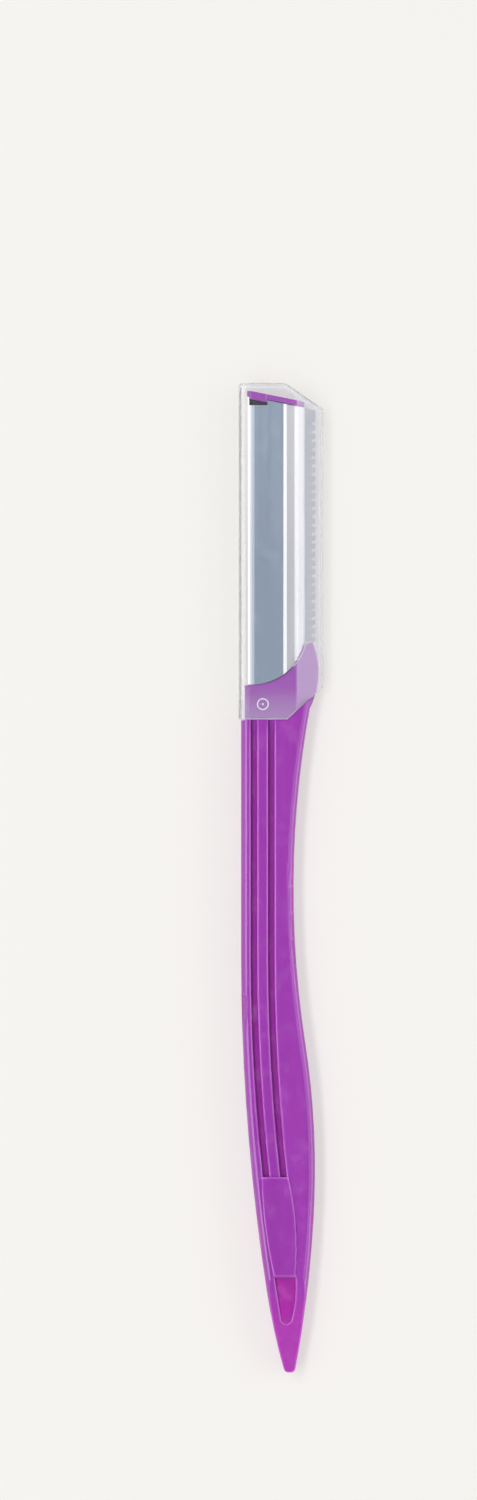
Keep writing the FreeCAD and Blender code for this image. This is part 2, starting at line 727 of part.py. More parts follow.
def make_sleeve():
    """Make the guard sleeve: a folded sheet whose two lips are slotted into a comb."""
    body = new_body("guard_sleeve")
    outer = [(spine_x, sleeve_half), (s.first_crease_x, sleeve_half), (s.second_crease_x, second_half),
             (s.comb_root_x, lip_half), (s.comb_tip_x, lip_half)]
    inner = [(x, half - s.sheet) for x, half in reversed(outer)]
    back = [(x, middle_z - half) for x, half in outer + inner]
    front = [(x, middle_z + half) for x, half in inner[::-1] + outer[::-1]]
    profile = new_sketch(body, "sleeve_profile", "XZ_Plane", tip_y)
    folds = (len(back) - 1, len(back + front) - 1)
    draw_outline(profile, back + front, {fold: SMOOTH_START for fold in folds})
    pad(body, profile, tip_y - sleeve_foot_y, "sleeve_sheet")
    creases = [(1, outer[1], s.first_crease_radius), (2, outer[2], s.second_crease_radius)]
    for number, (x, half), radius in creases:
        levels = [middle_z - half, middle_z + half]
        round_edges(body, f"crease_{number}", radius,
                    lambda edge: is_along(edge) and near(edge.BoundBox.XMin, x)
                    and any(near(edge.BoundBox.ZMin, level) for level in levels))

    far_x = s.comb_tip_x + s.overrun
    under = s.tip_wall + s.sleeve_end_gap
    top = new_sketch(body, "sleeve_top_outline", "XY_Plane", middle_z)
    draw_outline(top, [
        (-s.overrun, tip_line(-s.overrun) - under),
        (far_x, tip_line(far_x) - under),
        (far_x, tip_y + s.overrun),
        (-s.overrun, tip_y + s.overrun),
    ])
    cut(body, top, "sleeve_top")

    foot = new_sketch(body, "sleeve_foot_outline", "XY_Plane", middle_z)
    curve = heel_curve(s.sleeve_end_gap)
    draw_outline(foot, [
        (far_x, comb_foot_y),
        (curve[0][0], comb_foot_y),
        *curve,
        (-s.overrun, curve[2][1]),
        (-s.overrun, shoulder_y),
        (far_x, shoulder_y),
    ], {2: SMOOTH_END, 3: SMOOTH_END})
    cut(body, foot, "sleeve_foot")

    notch = new_sketch(body, "notch_outline", "XY_Plane", middle_z + sleeve_half)
    draw_outline(notch, [
        (notch_x, notch_y),
        (notch_far_x, notch_y),
        (notch_far_x, tip_y),
        (notch_x, tip_y),
    ])
    cut(body, notch, "notch", sleeve_half)

    slot_foot_y = comb_foot_y + s.comb_end_margin
    comb_length = tip_line(s.comb_tip_x) - under - s.comb_end_margin - slot_foot_y
    slot = new_sketch(body, "slot_outline", "XY_Plane", middle_z)
    draw_outline(slot, [
        (s.comb_root_x + s.slot_inset, slot_foot_y),
        (far_x, slot_foot_y + s.tooth_slant),
        (far_x, slot_foot_y + s.tooth_slant + s.tooth_space),
        (s.comb_root_x + s.slot_inset, slot_foot_y + s.tooth_space),
    ])
    first_slot = cut(body, slot, "slot")
    comb = body.newObject("PartDesign::LinearPattern", "comb")
    comb.Originals = [first_slot]
    comb.Direction = (slot, ["V_Axis"])
    comb.Mode = "Spacing"
    bind(comb, "Offset", s.tooth_pitch)
    comb.setExpression("Occurrences", f"floor({comb_length.text} / {s.tooth_pitch.text})")
    body.Tip = comb
    doc.recompute()
    return body


def make_blade():
    """Make the blade: a thin steel strip with a ground edge and two holes for the pegs."""
    body = new_body("blade")
    half = s.blade_thickness / 2
    edge_half = s.blade_edge / 2
    bevel_x = blade_edge_x - s.blade_bevel
    profile = new_sketch(body, "blade_profile", "XZ_Plane", blade_top_y)
    draw_outline(profile, [
        (blade_x, middle_z - half),
        (bevel_x, middle_z - half),
        (blade_edge_x, middle_z - edge_half),
        (blade_edge_x, middle_z + edge_half),
        (bevel_x, middle_z + half),
        (blade_x, middle_z + half),
    ])
    pad(body, profile, blade_top_y - blade_foot_y, "blade_strip")
    holes = new_sketch(body, "hole_outlines", "XY_Plane", middle_z)
    for peg_y in peg_ys:
        draw_circle(holes, peg_x, peg_y, s.peg_diameter + s.blade_hole_clearance * 2)
    cut(body, holes, "peg_holes")
    return body


def cap_form(name, inset, mouth_level):
    """Make the cap's outside, or its hollow that lies deeper by the wall."""
    body = new_body(name)
    radius = s.cap_side_radius - inset
    edge_x = s.cap_width - inset
    half = cap_half - inset
    taper = (cap_half - s.cap_edge_thickness / 2) / (s.cap_width - s.cap_crease_x)
    edge_half = half - (edge_x - s.cap_crease_x) * taper
    top_y = mouth_y + s.cap_length - inset
    profile = new_sketch(body, f"{name}_profile", "XZ_Plane", top_y)
    draw_outline(profile, [
        (inset + radius, middle_z - half),
        (s.cap_crease_x, middle_z - half),
        (edge_x, middle_z - edge_half),
        (edge_x, middle_z + edge_half),
        (s.cap_crease_x, middle_z + half),
        (inset + radius, middle_z + half),
        (inset, middle_z + half - radius),
        (inset, middle_z - half + radius),
    ], {5: SMOOTH_START, 7: SMOOTH_START})
    pad(body, profile, top_y - mouth_level, f"{name}_block")

    steepness = s.cap_top_slope / (s.cap_width - s.cap_top_flat)
    slope_y = mouth_y + s.cap_length - inset * root(steepness * steepness + 1)
    far_x = s.cap_width + s.overrun
    start_x = s.cap_top_flat - s.overrun
    slope = new_sketch(body, f"{name}_top_outline", "XY_Plane", middle_z)
    draw_outline(slope, [
        (start_x, slope_y + steepness * s.overrun),
        (far_x, slope_y - (far_x - s.cap_top_flat) * steepness),
        (far_x, slope_y + steepness * s.overrun),
    ])
    cut(body, slope, f"{name}_top")
    return body


def make_cap():
    """Make the clear cap: an open-mouthed case with a ring mark and a small snap stud."""
    outside = cap_form("cap_outside", Size.of(0), mouth_y)
    round_edges(outside, "cap_edge", s.cap_edge_radius,
                lambda edge: is_along(edge) and near(edge.BoundBox.XMin, s.cap_width))
    round_edges(outside, "cap_crease", s.cap_crease_radius,
                lambda edge: is_along(edge) and near(edge.BoundBox.XMin, s.cap_crease_x))
    round_edges(outside, "cap_top_corner", s.cap_top_corner_radius,
                lambda edge: is_upright(edge) and near(edge.BoundBox.XMin, s.cap_top_flat))
    round_edges(outside, "cap_top_edges", s.cap_top_radius, end_rim(outside.Tip.Shape, 1))

    far_x = s.cap_width + s.overrun
    mouth = new_sketch(outside, "mouth_outline", "XY_Plane", middle_z)
    draw_outline(mouth, [
        (s.cap_mouth_flat, mouth_y),
        (s.cap_mouth_flat, mouth_y - s.overrun),
        (far_x, mouth_y - s.overrun),
        (far_x, mouth_y + (far_x - s.cap_mouth_flat) * mouth_steepness),
    ])
    cut(outside, mouth, "mouth")
    round_edges(outside, "mouth_edges", s.cap_mouth_radius, end_rim(outside.Tip.Shape, -1))
    hollow = cap_form("cap_hollow", s.cap_wall, mouth_y - s.overrun)
    shell = doc.addObject("Part::Cut", "cap_shell")
    shell.Base = outside
    shell.Tool = hollow

    ring_y = mouth_y + s.ring_height
    face_z = middle_z + cap_half
    ring = doc.addObject("Part::Torus", "ring")
    bind(ring, "Radius1", s.ring_diameter / 2)
    bind(ring, "Radius2", s.ring_bead / 2)
    stud = doc.addObject("Part::Cylinder", "snap_stud")
    bind(stud, "Radius", s.snap_diameter / 2)
    bind(stud, "Height", s.snap_rise + s.cap_wall / 2)
    ring_z = face_z + s.ring_rise - s.ring_bead / 2
    for item, level in ((ring, ring_z), (stud, face_z - s.cap_wall - s.snap_rise)):
        for axis, place in zip("xyz", (s.ring_x, ring_y, level)):
            bind(item, f"Placement.Base.{axis}", place)
    return fuse("cap", [shell, ring, stud])


def fuse(name, pieces):
    """Join pieces into one solid."""
    joined = doc.addObject("Part::MultiFuse", name)
    joined.Shapes = pieces
    doc.recompute()
    return joined


grip = make_grip()
neck = make_neck()
carrier = make_carrier()
handle = fuse("handle", [grip, neck, carrier])
nodes = [handle, make_blade(), make_sleeve(), make_cap()]
for node in nodes:
    bind(node, "Placement.Base.x", -s.cap_width / 2)
    bind(node, "Placement.Base.y", -(mouth_y + s.cap_length) / 2)
doc.recompute()

for item in doc.Objects:
    if "Invalid" in item.State or "Error" in item.State:
        raise RuntimeError(f"{item.Name} is {item.State}")
    if item.TypeId == "Sketcher::SketchObject" and not item.FullyConstrained:
        raise RuntimeError(f"{item.Name} is not fully constrained")
os.makedirs("parts", exist_ok=True)
for node in nodes:
    if node.Shape.isNull() or not node.Shape.isValid() or len(node.Shape.Solids) != 1:
        raise RuntimeError(f"{node.Label} is not one valid solid")
    node.Shape.exportStep(f"parts/{node.Label}.step")
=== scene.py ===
"""Looks of an eyebrow razor that lies on its back, seen from straight above.

The razor is a moulded plastic handle, a blade in a folded steel sleeve and a clear slide-off cap.
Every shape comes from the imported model. This script gives each piece its finish, lays the razor on
a pale floor and lights it like a small product photograph. Lengths are in metres, unless a name or
a docstring says otherwise.
"""

import logging
from dataclasses import dataclass
from enum import Enum
from typing import Any

import bpy
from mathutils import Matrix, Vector


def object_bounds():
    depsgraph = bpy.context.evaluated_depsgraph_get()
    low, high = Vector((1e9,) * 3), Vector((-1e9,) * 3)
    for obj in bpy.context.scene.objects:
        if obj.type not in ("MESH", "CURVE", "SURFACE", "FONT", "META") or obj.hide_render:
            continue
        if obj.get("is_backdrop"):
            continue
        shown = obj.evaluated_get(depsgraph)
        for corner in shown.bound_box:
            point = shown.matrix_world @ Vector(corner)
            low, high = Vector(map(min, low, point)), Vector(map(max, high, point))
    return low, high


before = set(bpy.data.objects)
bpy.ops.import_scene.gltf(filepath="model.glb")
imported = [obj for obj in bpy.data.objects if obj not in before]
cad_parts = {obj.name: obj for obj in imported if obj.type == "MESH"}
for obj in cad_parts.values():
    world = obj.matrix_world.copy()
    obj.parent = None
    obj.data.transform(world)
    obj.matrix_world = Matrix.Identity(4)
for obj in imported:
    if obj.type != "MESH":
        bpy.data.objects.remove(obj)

MILLIMETRE = 0.001
MICROMETRE = 0.000001

# The standard curve by which a screen turns stored values into light.
SCREEN_FOOT = 0.04045
SCREEN_FOOT_SLOPE = 12.92
SCREEN_OFFSET = 0.055
SCREEN_POWER = 2.4

log = logging.getLogger("eyebrow_razor")

Colour = tuple[float, float, float]
Range = tuple[float, float]
Socket = bpy.types.NodeSocket


class Grain(Enum):
    """The way that the fine lines on a steel surface run, as the stretch of their pattern."""

    ALONG_THE_RAZOR = (1.0, 0.02, 1.0)
    ACROSS_THE_EDGE = (0.04, 1.0, 1.0)


def linear(red: int, green: int, blue: int) -> Colour:
    """Turn a colour as a screen shows it, from 0 to 255, into the linear values of a shader.

    Args:
        red: The red of the colour.
        green: The green of the colour.
        blue: The blue of the colour.

    Returns:
        The linear red, green and blue, from 0 to 1.
    """
    shares = (channel / 255 for channel in (red, green, blue))
    return tuple(
        share / SCREEN_FOOT_SLOPE if share <= SCREEN_FOOT
        else ((share + SCREEN_OFFSET) / (1 + SCREEN_OFFSET)) ** SCREEN_POWER
        for share in shares
    )


@dataclass(frozen=True)
class Pattern:
    """A cloudy pattern over a surface.

    Attributes:
        scale: How fine it is.
        detail: How many finer layers lie over it.
        roughness: How strong those are.
        stretch: How the place is scaled along each axis first, which draws the clouds out into
            lines along an axis with a small number; none leaves them round.
        reach: The strengths between which the pattern's mask grows from 0 to 1.
    """

    scale: float
    detail: float
    roughness: float = 0.5
    stretch: tuple[float, float, float] | None = None
    reach: Range = (0.0, 1.0)


@dataclass
class Graph:
    """A node tree that grows one node at a time.

    Attributes:
        tree: The tree of a material, a world or a node group.
    """

    tree: bpy.types.NodeTree

    def feed(self, socket: Socket, value: Any) -> None:
        """Lead another node's output into a socket, or set the socket to a plain value.

        Args:
            socket: The socket.
            value: The output or the value.
        """
        if isinstance(value, Socket):
            self.tree.links.new(value, socket)
        else:
            socket.default_value = value

    def add(self, kind: str, inputs: dict[str, Any] | None = None, **settings: Any) -> bpy.types.Node:
        """Add a node.

        Args:
            kind: The node's type.
            inputs: What goes into its sockets, by name: an output of another node, or a value.
            settings: Values of the node's own properties.

        Returns:
            The new node.
        """
        node = self.tree.nodes.new(kind)
        for name, value in settings.items():
            setattr(node, name, value)
        for name, value in (inputs or {}).items():
            self.feed(next(s for s in node.inputs if s.enabled and name in (s.name, s.identifier)), value)
        return node

    def sum(self, action: str, first: Any, second: Any = 0.0) -> Socket:
        """Do one sum with numbers.

        Args:
            action: The sum, such as ADD or MULTIPLY.
            first: The first number, an output or a value.
            second: The second number, for a sum that has one.

        Returns:
            The result.
        """
        node = self.add("ShaderNodeMath", operation=action)
        self.feed(node.inputs[0], first)
        self.feed(node.inputs[1], second)
        return node.outputs[0]

    def square_sum(self, first: Socket, second: Socket) -> Socket:
        """Return the sum of the squares of two numbers."""
        return self.sum("ADD", self.sum("POWER", first, 2.0), self.sum("POWER", second, 2.0))

    def span(self, value: Socket, low: float, high: float, to_low: float = 0.0,
             to_high: float = 1.0) -> Socket:
        """Move a number smoothly from one range to another.

        Args:
            value: The number.
            low: The value at which the result is to_low.
            high: The value at which the result is to_high.
            to_low: The result at and below low.
            to_high: The result at and above high.

        Returns:
            The moved number.
        """
        node = self.add("ShaderNodeMapRange", {
            "Value": value, "From Min": low, "From Max": high, "To Min": to_low, "To Max": to_high,
        }, interpolation_type="SMOOTHSTEP")
        return node.outputs["Result"]

    def fade(self, value: Socket, end: float, length: float, before: float, after: float) -> Socket:
        """Give one number on one side of a place and another one beyond it.

        Args:
            value: Where a point is, along one axis.
            end: The place at and beyond which the result is after.
            length: The length over which the result changes before that place.
            before: The result before the change.
            after: The result beyond it.

        Returns:
            The number.
        """
        return self.span(value, end - length, end, before, after)

    def blend(self, share: Any, first: Any, second: Any) -> Socket:
        """Mix two colours.

        Args:
            share: The share of the second colour, an output or a value.
            first: The first colour, an output or a colour.
            second: The second colour, an output or a colour.

        Returns:
            The mixed colour.
        """
        node = self.add("ShaderNodeMix", {"Factor": share}, data_type="RGBA")
        sockets = {socket.identifier: socket for socket in (*node.inputs, *node.outputs)}
        for name, colour in (("A_Color", first), ("B_Color", second)):
            self.feed(sockets[name], colour if isinstance(colour, Socket) else (*colour, 1.0))
        return sockets["Result_Color"]

    def mix_shaders(self, share: Socket, first: bpy.types.Node, second: bpy.types.Node) -> Socket:
        """Mix two shaders.

        Args:
            share: The share of the second shader.
            first: The first shader's node.
            second: The second shader's node.

        Returns:
            The mixed shader.
        """
        node = self.add("ShaderNodeMixShader", {"Fac": share})
        self.feed(node.inputs[1], first.outputs[0])
        self.feed(node.inputs[2], second.outputs[0])
        return node.outputs[0]

    def place(self) -> Socket:
        """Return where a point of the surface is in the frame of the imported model."""
        return self.add("ShaderNodeTexCoord").outputs["Object"]

    def axes(self) -> tuple[Socket, Socket, Socket]:
        """Return where a point of the surface is across the razor, along it and above its back."""
        node = self.add("ShaderNodeSeparateXYZ", {"Vector": self.place()})
        return node.outputs["X"], node.outputs["Y"], node.outputs["Z"]

    def noise(self, place: Socket, pattern: Pattern) -> Socket:
        """Add a cloudy pattern.

        Args:
            place: Where a point of the surface is.
            pattern: The pattern.

        Returns:
            The pattern's strength there, from 0 to 1.
        """
        if pattern.stretch:
            place = self.add("ShaderNodeMapping", {"Vector": place, "Scale": pattern.stretch}).outputs[0]
        node = self.add("ShaderNodeTexNoise", {
            "Vector": place,
            "Scale": pattern.scale,
            "Detail": pattern.detail,
            "Roughness": pattern.roughness,
        })
        return node.outputs[0]

    def mask(self, place: Socket, pattern: Pattern) -> Socket:
        """Add a cloudy pattern and return the mask of its strong places."""
        return self.span(self.noise(place, pattern), *pattern.reach)

    def scaled(self, place: Socket, scale: Socket) -> Socket:
        """Return a place whose three numbers are multiplied by one scale."""
        node = self.add("ShaderNodeVectorMath", {"Vector": place, "Scale": scale}, operation="SCALE")
        return node.outputs[0]


def emptied(owner: bpy.types.Material | bpy.types.World) -> Graph:
    """Give a material or a world a node tree with nothing in it.

    Args:
        owner: The material or the world.

    Returns:
        The tree's graph.
    """
    owner.use_nodes = True
    owner.node_tree.nodes.clear()
    return Graph(owner.node_tree)


def new_group(name: str, inputs: dict[str, float | Vector], outputs: list[str]) -> Graph:
    """Start a shader node group with named sockets.

    Args:
        name: The group's name.
        inputs: The default value of each input, by name.
        outputs: The name of each output, all numbers.

    Returns:
        The group's graph, with no nodes in it yet.
    """
    tree = bpy.data.node_groups.new(name, "ShaderNodeTree")
    for title, value in inputs.items():
        kind = "NodeSocketVector" if isinstance(value, Vector) else "NodeSocketFloat"
        socket = tree.interface.new_socket(title, in_out="INPUT", socket_type=kind)
        socket.default_value = value
    for title in outputs:
        tree.interface.new_socket(title, in_out="OUTPUT", socket_type="NodeSocketFloat")
    return Graph(tree)


@dataclass(frozen=True)
class HandledSkin:
    """The small marks of a moulded plastic surface, as a node group.

    Attributes:
        name: The group's name.
        scratches: How strong the hairline scratches are, where a material doesn't say.
        edge_width: How wide the outer edges are, where a material doesn't say.
        smudges: The soft smudges.
        flow: The slow streaks that the flow of the melt leaves.
        waves: The fine waviness.
        hairlines: The scratches that run one way.
        turns: The ways that the scratches run, as angles in radians.
        edge_reach: How open a point is to a look inwards on an outer edge, and off every edge.
        edge_looks: How many looks inwards find an edge.
    """

    name: str = "handled_skin"
    scratches: float = 0.5
    edge_width: float = 0.35 * MILLIMETRE
    smudges: Pattern = Pattern(420.0, 5.0, 0.65, reach=(0.45, 0.75))
    flow: Pattern = Pattern(420.0, 4.0, 0.6, stretch=(1.0, 0.06, 1.0), reach=(0.3, 0.7))
    waves: Pattern = Pattern(300.0, 2.0)
    hairlines: Pattern = Pattern(4200.0, 1.0, stretch=(1.0, 0.03, 1.0), reach=(0.74, 0.80))
    turns: tuple[float, ...] = (0.25, -0.7, 1.3)
    edge_reach: Range = (0.6, 0.99)
    edge_looks: int = 8

    def build(self) -> bpy.types.NodeTree:
        """Build the group.

        It gives the height of the waviness and the scratches, a mask of the smudges, a mask of the
        flow's streaks and a mask of the outer edges, on which the materials paint highlights.

        Returns:
            The node group.
        """
        graph = new_group(self.name, {
            "Scale": 1.0, "Scratches": self.scratches, "Edge Width": self.edge_width,
        }, ["Height", "Smudges", "Flow", "Edges"])
        given = graph.add("NodeGroupInput").outputs
        sized = graph.scaled(graph.place(), given["Scale"])
        hairlines: Any = 0.0
        for turn in self.turns:
            turned = graph.add("ShaderNodeVectorRotate", {"Vector": sized, "Angle": turn},
                               rotation_type="Z_AXIS").outputs[0]
            hairlines = graph.sum("ADD", hairlines, graph.mask(turned, self.hairlines))
        scratched = graph.sum("MULTIPLY", hairlines, given["Scratches"])
        inward = graph.add("ShaderNodeAmbientOcclusion", {"Distance": given["Edge Width"]},
                           inside=True, only_local=True, samples=self.edge_looks)
        graph.add("NodeGroupOutput", {
            "Height": graph.sum("SUBTRACT", graph.noise(sized, self.waves), scratched),
            "Smudges": graph.mask(sized, self.smudges),
            "Flow": graph.mask(sized, self.flow),
            "Edges": graph.span(inward.outputs["AO"], *self.edge_reach, 1.0, 0.0),
        })
        return graph.tree


@dataclass(frozen=True)
class RolledGrain:
    """The fine parallel lines that rolling or grinding leaves on steel, as a node group.

    Attributes:
        name: The group's name.
        fine: The finest lines.
        broad: The broader lines, of which the strong ones are the streaks.
        clouds: The wide clouds of warmer metal, which aren't drawn out into lines.
        fine_share: The share of the finest lines in the height; the broader ones have the rest.
    """

    name: str = "rolled_grain"
    fine: Pattern = Pattern(9000.0, 2.0)
    broad: Pattern = Pattern(1500.0, 3.0, reach=(0.3, 0.7))
    clouds: Pattern = Pattern(90.0, 2.0, reach=(0.4, 0.7))
    fine_share: float = 0.6

    def build(self) -> bpy.types.NodeTree:
        """Build the group.

        It gives the height of the lines, a mask of the streaks and a mask of the clouds.

        Returns:
            The node group.
        """
        graph = new_group(self.name, {"Scale": 1.0, "Stretch": Vector((1.0, 1.0, 1.0))},
                          ["Height", "Streaks", "Clouds"])
        given = graph.add("NodeGroupInput").outputs
        place = graph.place()
        stretched = graph.add("ShaderNodeVectorMath", {"Vector": place, "Vector_001": given["Stretch"]},
                              operation="MULTIPLY").outputs[0]
        sized = graph.scaled(stretched, given["Scale"])
        fine = graph.sum("MULTIPLY", graph.noise(sized, self.fine), self.fine_share)
        broad = graph.noise(sized, self.broad)
        graph.add("NodeGroupOutput", {
            "Height": graph.sum("ADD", fine, graph.sum("MULTIPLY", broad, 1.0 - self.fine_share)),
            "Streaks": graph.span(broad, *self.broad.reach),
            "Clouds": graph.mask(place, self.clouds),
        })
        return graph.tree


@dataclass(frozen=True)
class Finish:
    """What every finish of the razor has.

    Attributes:
        name: The material's name.
        bump_depth: How deep the surface's fine relief is.
    """

    name: str
    bump_depth: float

    def bump(self, graph: Graph, height: Socket) -> Socket:
        """Return the normal of a surface with this finish's fine relief."""
        node = graph.add("ShaderNodeBump", {"Height": height, "Strength": 1.0, "Distance": self.bump_depth})
        return node.outputs[0]


@dataclass(frozen=True)
class MouldedPlastic(Finish):
    """Solid coloured glossy plastic, with painted shade in its grooves, a painted glow in its pocket and at
    its tail, and painted highlights on the edges of its grip.

    Attributes:
        colour: The plastic's colour.
        flow_colour: Its colour in the streaks that the flow of the melt leaves.
        groove_shade_colour: Its darker colour at the bottom of the grooves, a painted shade.
        pocket_glow_colour: Its redder colour in the pocket, a painted glow of light through the thin
            plastic there.
        tail_glow_colour: Its redder colour at the tail, a painted glow of light through the thinner plastic
            there.
        rim_highlight_colour: Its paler colour along the edges of the grip, a painted highlight.
        face: The level of the front face.
        tail_start: Where the front face starts to fall towards the tail.
        tail_slope: How steeply it falls there.
        grip_end: Where the grip ends at the neck; beyond it hollows get no painted shade or glow and edges
            no painted highlight.
        pocket_start: Up to where along the razor a hollow has the pocket's colour, not the grooves'.
        plaque_top: Up to where along the razor edges get less painted highlight, as the plaque's do.
        sunk: How deep below the face a hollow's colour starts.
        deep: How deep it is full.
        grip_fade: The length over which those places along the grip fade.
        tail_fade: The length over which the tail's colour grows.
        tail_share: The share of the tail's colour at its end.
        rim_highlight_share: The share of the painted highlight on an edge of the grip.
        plaque_rim_highlight_share: That share on the edges of the plaque and the pocket.
        shine: The roughness where the surface is clean.
        smudge: The roughness in a smudge.
        bend: The index of refraction.
        gloss: The strength of the mirrored light.
        glow: The share of the light that runs under the surface.
        glow_depth: How far it runs.
        glow_reach: How far its red, green and blue run, as shares of that.
    """

    colour: Colour
    flow_colour: Colour
    groove_shade_colour: Colour
    pocket_glow_colour: Colour
    tail_glow_colour: Colour
    rim_highlight_colour: Colour
    face: float
    tail_start: float
    tail_slope: float
    grip_end: float
    pocket_start: float
    plaque_top: float
    sunk: float = 0.1 * MILLIMETRE
    deep: float = 0.45 * MILLIMETRE
    grip_fade: float = 3 * MILLIMETRE
    tail_fade: float = 7 * MILLIMETRE
    tail_share: float = 0.9
    rim_highlight_share: float = 0.85
    plaque_rim_highlight_share: float = 0.5
    shine: float = 0.14
    smudge: float = 0.24
    bend: float = 1.5
    gloss: float = 1.0
    glow: float = 0.6
    glow_depth: float = 1.0 * MILLIMETRE
    glow_reach: Colour = (1.0, 0.25, 0.9)

    def sunken(self, graph: Graph, along: Socket, level: Socket) -> Socket:
        """Give the mask of what lies deep under the nearer face, such as the bottom of a groove.

        The nearer face is the flat back or the front, which falls towards the tail.

        Args:
            graph: The material's graph.
            along: Where a point is along the razor.
            level: How high it is above the back.

        Returns:
            The mask, from 0 to 1.
        """
        beyond = graph.sum("MAXIMUM", graph.sum("SUBTRACT", self.tail_start, along), 0.0)
        face_level = graph.sum("SUBTRACT", self.face, graph.sum("MULTIPLY", beyond, self.tail_slope))
        below_face = graph.sum("SUBTRACT", face_level, level)
        return graph.span(graph.sum("MINIMUM", below_face, level), self.sunk, self.deep)

    def colour_with_painted_light(self, graph: Graph, flow: Socket, edges: Socket) -> Socket:
        """Give the plastic's colour all over the handle, with painted shade in the grooves, a painted glow
        in the pocket and at the tail and a painted highlight on the edges of the grip.

        Args:
            graph: The material's graph.
            flow: The mask of the flow's streaks.
            edges: The mask of the outer edges.

        Returns:
            The colour.
        """
        _, along, level = graph.axes()
        on_grip = graph.fade(along, self.grip_end, self.grip_fade, 1.0, 0.0)
        in_pocket = graph.fade(along, self.pocket_start, self.grip_fade, 1.0, 0.0)
        at_tail = graph.fade(along, self.tail_start, self.tail_fade, self.tail_share, 0.0)
        rim_highlight_share = graph.fade(along, self.plaque_top, self.grip_fade, self.plaque_rim_highlight_share, self.rim_highlight_share)

        flowed = graph.blend(flow, self.colour, self.flow_colour)
        # Painted glow: the tail is redder, standing in for light through the thinner plastic there.
        body = graph.blend(at_tail, flowed, self.tail_glow_colour)
        # Painted shade at the bottom of the grooves and a painted glow in the thin pocket, picked by depth
        # below the face.
        hollow = graph.blend(in_pocket, self.groove_shade_colour, self.pocket_glow_colour)
        hollowed = graph.sum("MULTIPLY", self.sunken(graph, along, level), on_grip)
        # The body's colour with the painted shade and glow in the hollows.
        moulded = graph.blend(hollowed, body, hollow)
        # Painted highlight: the edges of the grip are paler, standing in for light caught on their
        # rounding.
        rim_highlight = graph.sum("MULTIPLY", graph.sum("MULTIPLY", edges, on_grip), rim_highlight_share)
        return graph.blend(rim_highlight, moulded, self.rim_highlight_colour)

    def material(self, skin: bpy.types.NodeTree) -> bpy.types.Material:
        """Build the material.

        Args:
            skin: The group with the marks of a moulded surface.

        Returns:
            The material.
        """
        material = bpy.data.materials.new(self.name)
        graph = emptied(material)
        marks = graph.add("ShaderNodeGroup", node_tree=skin).outputs
        shader = graph.add("ShaderNodeBsdfPrincipled", {
            "Base Color": self.colour_with_painted_light(graph, marks["Flow"], marks["Edges"]),
            "Roughness": graph.span(marks["Smudges"], 0.0, 1.0, self.shine, self.smudge),
            "IOR": self.bend,
            "Specular IOR Level": self.gloss,
            "Subsurface Weight": self.glow,
            "Subsurface Radius": self.glow_reach,
            "Subsurface Scale": self.glow_depth,
            "Normal": self.bump(graph, marks["Height"]),
        })
        graph.add("ShaderNodeOutputMaterial", {"Surface": shader.outputs[0]})
        return material


